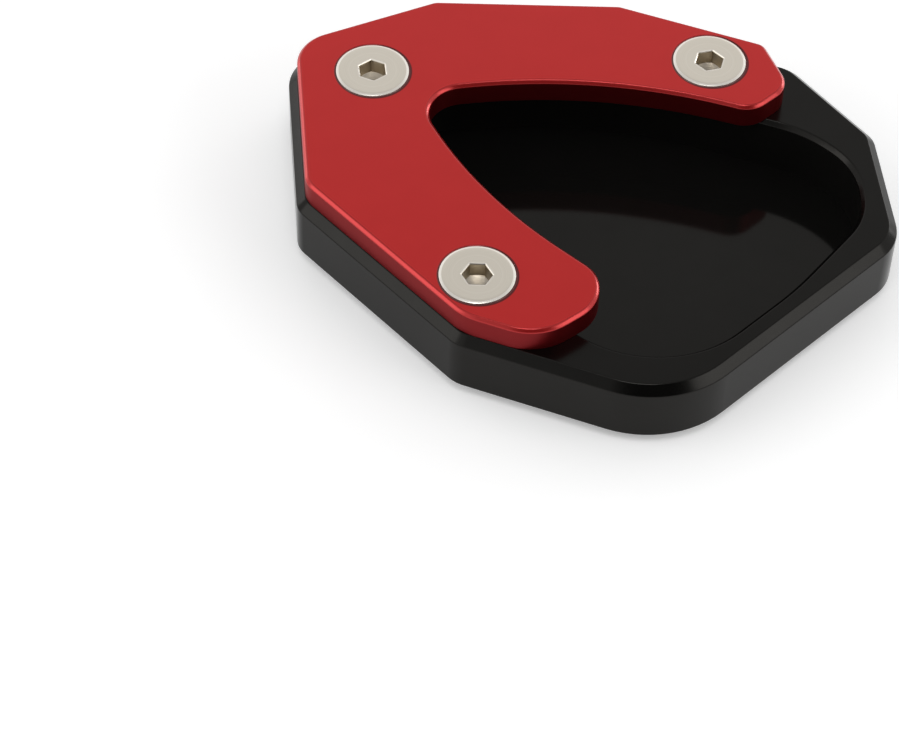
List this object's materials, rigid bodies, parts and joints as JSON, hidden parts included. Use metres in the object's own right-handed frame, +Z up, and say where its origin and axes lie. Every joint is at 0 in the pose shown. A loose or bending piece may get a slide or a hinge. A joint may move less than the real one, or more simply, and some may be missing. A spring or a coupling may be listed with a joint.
{
  "type": "kickstand foot enlarger",
  "caption": "Wide foot for a motorcycle side stand: a chamfered base plate with a deep pocket, and a V shaped clamp plate held on it by flush countersunk screws.",
  "frame": {"origin": "on the ground face, under the middle of the base plate's outline", "axes": "+Z up, out of the pocket; +X along the base plate's longest side, away from the closed end of the clamp plate's V; +Y to the long slanted side at the back"},
  "size_m": [0.0954, 0.0794, 0.0163],
  "materials": {
    "black_anodised": "satin black anodised, milled",
    "red_anodised": "satin red anodised, milled",
    "stainless": "turned stainless steel"
  },
  "bodies": {
    "root": {"base_plate": "black_anodised", "clamp_plate": "red_anodised", "countersunk_screws": "stainless"}
  },
  "joints": []
}
